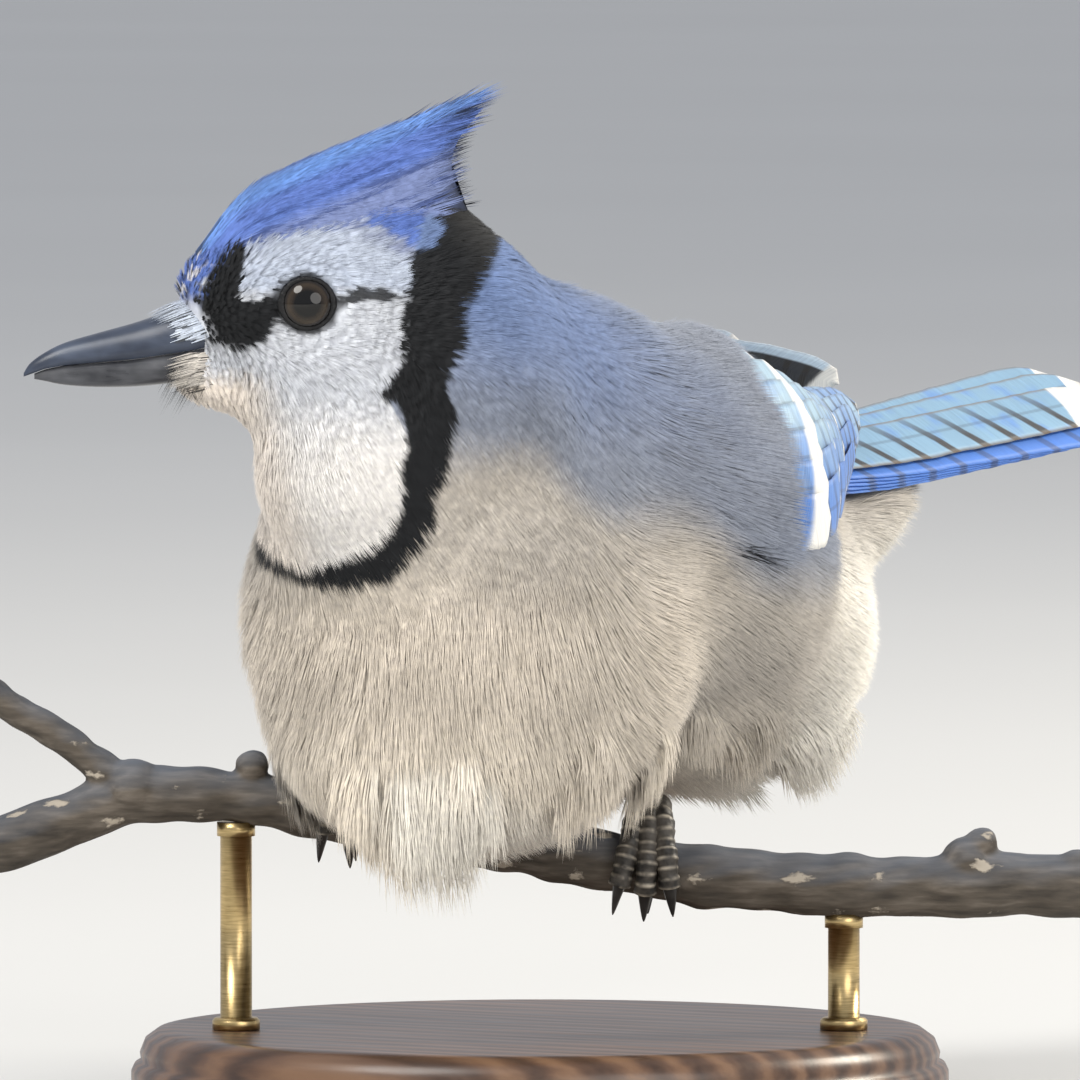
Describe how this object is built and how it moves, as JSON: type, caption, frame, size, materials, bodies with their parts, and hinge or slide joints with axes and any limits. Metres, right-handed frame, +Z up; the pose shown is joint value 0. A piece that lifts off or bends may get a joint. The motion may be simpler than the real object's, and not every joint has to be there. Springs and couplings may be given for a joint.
{
  "type": "blue jay perched on a branch",
  "caption": "Still, life-size model of a fluffed-up crested jay perched on a short cut branch, held by two rods on a round base",
  "frame": {"origin": "middle of the underside of the stand's round base, on the surface it stands on", "axes": "+Z is up, the bird's body faces -Y with its tail towards +Y, and its left side is towards +X; the head is turned towards -X"},
  "size_m": [0.1563, 0.2448, 0.1553],
  "materials": {
    "body_feathers": "soft overlapping body feathers: violet-blue above, pale grey and white below, black collar",
    "crest_feathers": "violet-blue pointed crest feathers",
    "wing_feathers": "blue barred vanes with black bars and white tips",
    "tail_feathers": "bright blue barred vanes with white tips",
    "bill": "satin black horn with a blue-grey sheen",
    "eye": "wet dark brown eye",
    "leg_skin": "blackish scaled skin",
    "claw": "dark horn",
    "bark": "grey-brown bark with pale lenticels and knots",
    "base_wood": "turned and oiled dark wood",
    "rod_metal": "brushed brass rod"
  },
  "bodies": {
    "root": {"torso": "body_feathers", "neck": "body_feathers", "head": "body_feathers", "crest": "crest_feathers", "wing_left": "wing_feathers", "wing_right": "wing_feathers", "tail": "tail_feathers", "bill_upper": "bill", "bill_lower": "bill", "eye_left": "eye", "eye_right": "eye", "leg_left": "leg_skin", "leg_right": "leg_skin", "claw_left_inner": "claw", "claw_left_middle": "claw", "claw_left_outer": "claw", "claw_left_hind": "claw", "claw_right_inner": "claw", "claw_right_middle": "claw", "claw_right_outer": "claw", "claw_right_hind": "claw", "perch": "bark", "stand_base": "base_wood", "stand_rod_left": "rod_metal", "stand_rod_right": "rod_metal"}
  },
  "joints": []
}
